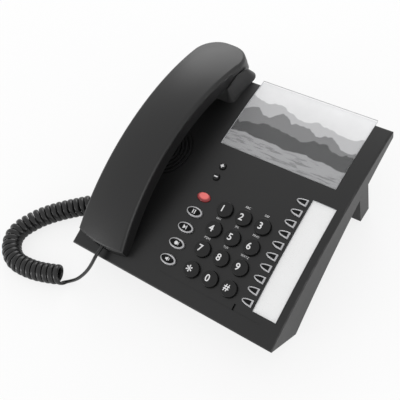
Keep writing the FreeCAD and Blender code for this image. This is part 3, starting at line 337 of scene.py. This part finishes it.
def hill_picture():
    """Grey picture for the window: hills in mist, one behind the other, above a lake."""
    finish = Finish("picture_print", Specular_IOR_Level=0.3)
    low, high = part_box("picture_card")
    depth = high.y - low.y
    along = (finish.axis("Y") - low.y) / depth
    cloud = finish.noise(45.0, 5.0, 0.6)
    tone = finish.mix(along + (cloud - 0.5) * 0.5, (0.55, 0.55, 0.55), (0.97, 0.97, 0.98))
    for base, swing, scale, seed, fuzz, shade in (*HILLS, LAKE):
        mask = ridge(finish, low.y + base * depth, swing, scale, seed, fuzz)
        tone = finish.mix(mask * (1 - MIST), tone, shade)
    drawn_out = finish.node("ShaderNodeVectorMath", {"operation": "MULTIPLY"},
                            {0: finish.place(), 1: RIPPLE_STRETCH})
    ripple = finish.noise(160.0, 4.0, 0.6, drawn_out)
    lake = (low.y + SHORE * depth - finish.axis("Y")).above(0.002, 0.002)
    tone = finish.mix(lake * ripple.above(0.56, 0.06) * 0.6, tone, (0.12, 0.12, 0.123))
    finish.feed("Base Color", tone)
    finish.feed("Roughness", 0.5 + cloud * 0.1)
    return finish


def clear_pane():
    """Clear acrylic: a thin veil that lets the light on to the card behind it."""
    finish = Finish("clear_pane", Specular_IOR_Level=0.8, Base_Color=(0.60, 0.61, 0.61, 1.0))
    smear = finish.noise(70.0, 3.0, 0.6)
    finish.feed("Roughness", 0.04 + smear * 0.06)
    finish.feed("Alpha", 0.03 + smear * 0.03)
    return finish


def pane_edge():
    """The sawn edge of a clear pane, which gathers light."""
    finish = Finish("pane_edge", Metallic=0.2)
    saw = finish.noise(2600.0, 2.0)
    finish.feed("Base Color", finish.mix(saw, (0.50, 0.51, 0.52), (0.72, 0.73, 0.74)))
    finish.feed("Roughness", 0.3 + saw * 0.2)
    return finish


def steel():
    finish = Finish("screw_steel", Metallic=1.0)
    rub = finish.noise(1400.0, 3.0, 0.6)
    finish.feed("Base Color", finish.mix(rub, (0.32, 0.32, 0.33), (0.52, 0.52, 0.53)))
    finish.feed("Roughness", 0.26 + rub * 0.2)
    return finish


def circuit():
    """Green board with paler tracks."""
    finish = Finish("board_green")
    cells = finish.node("ShaderNodeTexVoronoi", {"distance": "MANHATTAN", "feature": "F1"},
                        {"Vector": finish.place(), "Scale": 210.0})
    tracks = cells.above(0.42, 0.03)
    finish.feed("Base Color", finish.mix(tracks, (0.012, 0.085, 0.03), (0.03, 0.17, 0.06)))
    finish.feed("Roughness", 0.42 - tracks * 0.1)
    return finish


HOUSING = moulded("housing_plastic", (0.0062, 0.0062, 0.0065), 0.38)
HANDSET = moulded("handset_plastic", (0.0070, 0.0070, 0.0073), 0.40)
KEY_BLACK = moulded("key_plastic", (0.0055, 0.0055, 0.0057), 0.40, grain=0.0003, depth=0.000008,
                    Specular_IOR_Level=0.36)
KEY_CENTRE = moulded("key_centre", (0.004, 0.004, 0.0042), 0.35, grain=0.0003, depth=0.000006,
                     Specular_IOR_Level=0.15)
CORD_SKIN = moulded("cord_skin", (0.008, 0.008, 0.0083), 0.30, grain=0.0006, depth=0.00001)
SILVER = silver_paint()
INK = mark_ink()
PANE = clear_pane()
PANE_EDGE = pane_edge()

NODE_FINISHES = {
    "housing_charcoal": HOUSING,
    "handset_charcoal": HANDSET,
    "key_black": KEY_BLACK,
    "key_silver": SILVER,
    "lamp_red": lamp_lens(),
    "led_red": moulded("led_plastic", (0.5, 0.02, 0.02), 0.2),
    "card_picture": hill_picture(),
    "card_white": paper(),
    "window_clear": PANE,
    "board_green": circuit(),
    "mat_rubber": moulded("mat_rubber", (0.28, 0.28, 0.27), 0.7),
    "screw_steel": steel(),
    "capsule_black": moulded("capsule_plastic", (0.02, 0.02, 0.02), 0.4),
    "socket_black": moulded("socket_plastic", (0.015, 0.015, 0.016), 0.38),
    "plug_smoke": moulded("plug_smoke", (0.03, 0.03, 0.032), 0.16, grain=0.002, depth=0.000004),
    "cord_grey": CORD_SKIN,
    "foot_rubber": moulded("foot_rubber", (0.02, 0.02, 0.02), 0.8, grain=0.0007, depth=0.00004),
}


def dress_nodes():
    for node in frame["nodes"].values():
        slot = node.material_slots[0]
        slot.material = NODE_FINISHES[slot.material.name.split(".")[0]].material


# Cord

def smooth_line(name, points):
    """A spline pulled by its points; it starts and ends on the first and the last."""
    data = bpy.data.curves.new(name, "CURVE")
    data.dimensions = "3D"
    line = data.splines.new("NURBS")
    line.points.add(len(points) - 1)
    for spot, point in zip(line.points, points):
        spot.co = (*point, 1.0)
    line.order_u = 3
    line.use_endpoint_u = True
    piece = bpy.data.objects.new(name, data)
    bpy.context.scene.collection.objects.link(piece)
    return piece


def points_along(piece, fineness):
    """Points along a line that has no thickness yet."""
    piece.data.resolution_u = fineness
    mesh = bpy.data.meshes.new_from_object(piece)
    points = [item.co.copy() for item in mesh.vertices]
    bpy.data.meshes.remove(mesh)
    return points


def curl_points():
    """Points on the curls, the ways from their middle line out to each, and the way they end in.

    The curls are evenly spaced, and wind up over a ramp at the start and off over one at the end.
    """
    route = smooth_line("coil_route", [(x * MM, y * MM, COIL_HEIGHT) for x, y in COIL_ROUTE])
    line = points_along(route, 48)
    bpy.data.objects.remove(route)
    runs = [0.0]
    for one, other in zip(line, line[1:]):
        runs.append(runs[-1] + (other - one).length)
    total = runs[-1]
    steps = round(CURL_TURNS * POINTS_PER_TURN)
    radius = CURL_RADIUS / cos(pi / POINTS_PER_TURN)
    points, outs = [], []
    after = 1
    wound = total - (START_RAMP + END_RAMP) / 2
    for n in range(steps + 1):
        turned = n / steps * wound
        if turned < START_RAMP / 2:
            run = sqrt(2 * START_RAMP * turned)
        elif turned > wound - END_RAMP / 2:
            run = total - sqrt(max(2 * END_RAMP * (wound - turned), 0.0))
        else:
            run = turned + START_RAMP / 2
        while after < len(runs) - 1 and runs[after] < run:
            after += 1
        share = (run - runs[after - 1]) / (runs[after] - runs[after - 1])
        middle = line[after - 1].lerp(line[after], share)
        way = (line[after] - line[after - 1]).normalized()
        side = UP.cross(way).normalized()
        turn = FIRST_CURL + tau * CURL_TURNS * n / steps
        out = side * cos(turn) + way.cross(side) * sin(turn)
        points.append(middle + out * radius)
        outs.append(out)
    return points, outs, way


def flat_tube(name, path, outs):
    """A closed tube of oval section along a path; its flat sides face the ways given."""
    count = len(path)
    shape = bmesh.new()
    rings = []
    for n, spot in enumerate(path):
        way = (path[min(n + 1, count - 1)] - path[max(n - 1, 0)]).normalized()
        share = n / (count - 1) * (len(outs) - 1)
        low = min(int(share), len(outs) - 2)
        out = outs[low].lerp(outs[low + 1], share - low)
        out = (out - way * out.dot(way)).normalized()
        wide = way.cross(out)
        ring = []
        for k in range(RING_POINTS):
            turn = tau * k / RING_POINTS
            edge = wide * (cos(turn) * CORD_WIDTH / 2) + out * (sin(turn) * CORD_THICKNESS / 2)
            ring.append(shape.verts.new(spot + edge))
        rings.append(ring)
    for one, other in zip(rings, rings[1:]):
        for k in range(RING_POINTS):
            after = (k + 1) % RING_POINTS
            shape.faces.new((one[k], one[after], other[after], other[k]))
    shape.faces.new(rings[0][::-1])
    shape.faces.new(rings[-1])
    mesh = bpy.data.meshes.new(name)
    shape.to_mesh(mesh)
    shape.free()
    piece = bpy.data.objects.new(name, mesh)
    bpy.context.scene.collection.objects.link(piece)
    pick(piece)
    bpy.ops.object.shade_smooth_by_angle(angle=radians(50))
    return piece


def make_cord():
    """The flat cord: a plain lead from the handset, the curls, and a tail into the base."""
    curls, curl_outs, last_way = curl_points()
    lead = [HANDSET_EXIT + HANDSET_WAY * reach for reach in (0.0, STRAIGHT, STRAIGHT + PLAIN_LEG)]
    lead += [Vector(point) * MM for point in LEAD_ROUTE]
    tail = [curls[-1] + last_way * PLAIN_LEG]
    tail += [BASE_EXIT + BASE_WAY * reach for reach in (STRAIGHT + PLAIN_LEG, STRAIGHT, 0.0)]
    lead_outs = [(b - a).cross(LEAD_EDGE).normalized() for a, b in zip(lead, lead[1:] + curls[:1])]
    line = smooth_line("cord_route", lead + curls + tail)
    path = points_along(line, 3)
    bpy.data.objects.remove(line)
    cord = flat_tube("curly_cord_skin", path, lead_outs + curl_outs + [UP] * len(tail))
    cord.data.materials.append(CORD_SKIN.material)
    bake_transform(cord)
    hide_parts("curly_cord")


# Keys and their marks

PRESS_AXES = {joint["child"]: Vector(joint["axis"]).normalized() for joint in frame["joints"]}


def key_top(node):
    """The frame of a key's top: its middle, with X to the right and Z out of the panel."""
    out = PRESS_AXES[node]
    right = Vector((1.0, 0.0, 0.0))
    back = out.cross(right)
    spots = [item.co for item in frame["nodes"][node].data.vertices]
    level = max(spot.dot(out) for spot in spots)
    top = [spot for spot in spots if spot.dot(out) > level - TOP_BAND]
    sides = [(min(spot.dot(way) for spot in top), max(spot.dot(way) for spot in top))
             for way in (right, back)]
    middle = right * (sum(sides[0]) / 2) + back * (sum(sides[1]) / 2) + out * level
    return Matrix.Translation(middle) @ Matrix((right, back, out)).transposed().to_4x4()


def print_text(name, words, height, place, bold=0.0):
    """Printed characters, a thin skin of ink centred on their place."""
    clear_selection()
    bpy.ops.object.text_add()
    piece = bpy.context.object
    piece.name = name
    piece.data.body = words
    piece.data.size = height / CAPITAL_SHARE
    piece.data.align_x = "CENTER"
    piece.data.align_y = "CENTER"
    piece.data.offset = bold
    piece.data.extrude = INK_DEPTH
    pick(piece)
    bpy.ops.object.convert(target="MESH")
    piece = bpy.context.object
    corners = [Vector(corner) for corner in piece.bound_box]
    middle = (corners[0] + corners[6]) / 2
    piece.data.transform(place @ Matrix.Translation(-middle))
    return piece


def print_shapes(name, shapes, place):
    """Printed shapes, each given by its corners in millimetres, as a thin skin of ink."""
    data = bpy.data.curves.new(name, "CURVE")
    data.dimensions = "2D"
    data.fill_mode = "BOTH"
    data.extrude = INK_DEPTH
    for corners in shapes:
        edge = data.splines.new("POLY")
        edge.points.add(len(corners) - 1)
        edge.use_cyclic_u = True
        for spot, (x, y) in zip(edge.points, corners):
            spot.co = (x * MM, y * MM, 0.0, 1.0)
    piece = bpy.data.objects.new(name, data)
    bpy.context.scene.collection.objects.link(piece)
    pick(piece)
    bpy.ops.object.convert(target="MESH")
    piece = bpy.context.object
    piece.data.transform(place)
    return piece


def bar(left, right, front, back):
    return ((left, front), (right, front), (right, back), (left, back))


def round_shape(radius, corners=24):
    turns = [tau * n / corners for n in range(corners)]
    return tuple((radius * cos(turn), radius * sin(turn)) for turn in turns)


INK_DEPTH = 0.03 * MM
TOP_BAND = 0.02 * MM
FUNCTION_RIM = 0.42 * MM
FUNCTION_LEAN = 0.35 * MM
MEMORY_RIM = 0.32 * MM
MEMORY_LEAN = 0.26 * MM
LEAN_BACK = 0.3
CENTRE_WALL = 0.12 * MM
CENTRE_DEPTH = 0.2 * MM
PLUS_MARK = (((-1.6, -0.5), (-0.5, -0.5), (-0.5, -1.6), (0.5, -1.6), (0.5, -0.5), (1.6, -0.5),
              (1.6, 0.5), (0.5, 0.5), (0.5, 1.6), (-0.5, 1.6), (-0.5, 0.5), (-1.6, 0.5)),)
MINUS_MARK = (bar(-1.6, 1.6, -0.5, 0.5),)
FUNCTION_MARKS = (
    (bar(-1.3, -0.5, -1.7, 1.7), bar(0.5, 1.3, -1.7, 1.7)),
    (((-1.7, -1.7), (0.9, 0.0), (-1.7, 1.7)), bar(1.0, 1.6, -1.6, 1.6)),
    (round_shape(1.5), bar(1.8, 2.3, -1.3, 1.3)),
    (((-1.9, -0.7), (-0.9, -0.7), (0.4, -1.7), (0.4, 1.7), (-0.9, 0.7), (-1.9, 0.7)),
     bar(1.1, 1.6, -1.0, 1.0)),
)
DIAL_MARKS = {"star": "*", "hash": "#"}
DIAL_LETTERS = {"2": "ABC", "3": "DEF", "4": "GHI", "5": "JKL", "6": "MNO", "7": "PQRS",
                "8": "TUV", "9": "WXYZ"}
DIAL_KEYS = ("1", "2", "3", "4", "5", "6", "7", "8", "9", "star", "0", "hash")
CAPITAL_SHARE = 0.73
DIGIT_BOLD = 0.1 * MM
DIGIT_HEIGHT = 5.6 * MM
DIGIT_SHIFT = -1.7 * MM
LETTER_HEIGHT = 1.7 * MM
LETTER_BACK = 9.3 * MM
LETTER_LEFT = 1.6 * MM
STAR_HEIGHT = 8.8 * MM
DIAL_RISE = 2.8 * MM


def mark_dial_keys():
    for label in DIAL_KEYS:
        node = f"dial_key_{label}"
        top = key_top(node)
        spot = top @ Matrix.Translation((DIGIT_SHIFT, 0.0, 0.0))
        height = STAR_HEIGHT if label == "star" else DIGIT_HEIGHT
        digit = print_text(f"digit_{label}", DIAL_MARKS.get(label, label), height, spot, DIGIT_BOLD)
        settle(digit, node, INK)
        if label in DIAL_LETTERS:
            spot = top @ Matrix.Translation((-LETTER_LEFT, LETTER_BACK, -DIAL_RISE))
            word = print_text(f"letters_{label}", DIAL_LETTERS[label], LETTER_HEIGHT, spot)
            settle(word, "base", INK)


def ring_key(node, rim, lean):
    """A silver key with a sunk black centre, which lies off the middle to the left and the back."""
    out = PRESS_AXES[node]
    piece = copy_of(node, node + "_cap")
    level = max(item.co.dot(out) for item in piece.data.vertices)
    floor = level - TOP_BAND
    choose_faces(piece, lambda spot, normal: normal.dot(out) > 0.999 and spot.dot(out) > floor)
    edit(piece)
    bpy.ops.mesh.dissolve_faces()
    bpy.ops.mesh.inset(thickness=rim, depth=0.0)
    bpy.ops.transform.translate(value=Vector((-lean, LEAN_BACK * lean, 0.0)))
    bpy.ops.mesh.inset(thickness=CENTRE_WALL, depth=-CENTRE_DEPTH)
    bpy.ops.object.mode_set(mode="OBJECT")
    settle(piece, node, SILVER)
    paint(piece, KEY_CENTRE)
    return piece


def make_ring_keys():
    for n in range(1, 5):
        node = f"function_key_{n}"
        centre = (-FUNCTION_LEAN, LEAN_BACK * FUNCTION_LEAN, INK_DEPTH - CENTRE_DEPTH)
        spot = key_top(node) @ Matrix.Translation(centre)
        ring_key(node, FUNCTION_RIM, FUNCTION_LEAN)
        mark = print_shapes(f"function_mark_{n}", FUNCTION_MARKS[n - 1], spot)
        settle(mark, node, INK)
    for n in range(1, 11):
        ring_key(f"memory_key_{n}", MEMORY_RIM, MEMORY_LEAN)


def mark_volume_keys():
    for node, shapes in (("volume_key_up", PLUS_MARK), ("volume_key_down", MINUS_MARK)):
        mark = print_shapes(node + "_mark", shapes, key_top(node))
        settle(mark, node, INK)


def make_panes():
    """The clear panes, with their sawn edges."""
    for node, name in (("picture_window", "picture_pane"), ("label_window", "label_pane")):
        pane = copy_of(node, name)
        settle(pane, "base", PANE)
        choose_faces(pane, lambda spot, normal: abs(normal.z) < 0.5)
        paint(pane, PANE_EDGE)


# Stage

WHITE_SHARE = 0.8
MIRRORED_SHARE = 0.3


def set_camera():
    back = CAMERA_RIGHT.cross(CAMERA_UP).normalized()
    right = CAMERA_UP.cross(back).normalized()
    turn = Matrix((right, back.cross(right), back)).transposed()
    bpy.ops.object.camera_add(location=CAMERA_SPOT, rotation=turn.to_euler())
    camera = bpy.context.object
    camera.data.lens = CAMERA_LENS
    camera.data.sensor_width = SENSOR_WIDTH
    camera.data.clip_start = 0.01
    bpy.context.scene.camera = camera


def soft_lamp(name, spot, aim, side, power):
    way = (Vector(aim) - Vector(spot)).to_track_quat("-Z", "Y")
    bpy.ops.object.light_add(type="AREA", location=spot, rotation=way.to_euler())
    lamp = bpy.context.object
    lamp.name = name
    lamp.data.size = side
    lamp.data.energy = power


def desk_white():
    """White desk top: a look straight at it sees part of its shade, and white for the rest."""
    finish = Finish("desk_white", Roughness=0.8, Base_Color=(0.93, 0.93, 0.93, 1.0))
    camera, glossy, through = (finish.node("ShaderNodeLightPath", output=name) for name in
                               ("Is Camera Ray", "Is Glossy Ray", "Is Transmission Ray"))
    white = finish.node("ShaderNodeEmission", None, {"Color": (1.0, 1.0, 1.0, 1.0), "Strength": 1.0})
    shade = Value(finish, finish.shader.outputs[0])
    seen = camera * WHITE_SHARE + (glossy + through) * MIRRORED_SHARE
    surface = finish.node("ShaderNodeMixShader", None, {0: seen, 1: shade, 2: white})
    finish.tree.links.new(surface.socket, finish.tree.nodes["Material Output"].inputs[0])
    return finish


def set_stage():
    scene = bpy.context.scene
    scene.view_settings.view_transform = "Standard"
    world = bpy.data.worlds.new("studio")
    world.use_nodes = True
    sky = world.node_tree.nodes["Background"]
    sky.inputs["Color"].default_value = (1.0, 1.0, 1.0, 1.0)
    sky.inputs["Strength"].default_value = 0.84
    scene.world = world
    clear_selection()
    bpy.ops.mesh.primitive_plane_add(size=6.0)
    floor = bpy.context.object
    floor.name = "desk"
    floor.data.materials.append(desk_white().material)
    soft_lamp("back_light", (-0.65, 1.2, 0.62), (0.0, 0.0, 0.03), 0.9, 6.0)
    soft_lamp("side_light", (1.2, -0.45, 0.35), (0.0, 0.05, 0.03), 0.6, 2.6)
    soft_lamp("lip_light", (-0.72, -1.06, 0.16), (-0.06, -0.09, 0.04), 0.4, 2.5)


set_camera()
set_stage()
dress_nodes()
make_cord()
mark_dial_keys()
make_ring_keys()
mark_volume_keys()
make_panes()
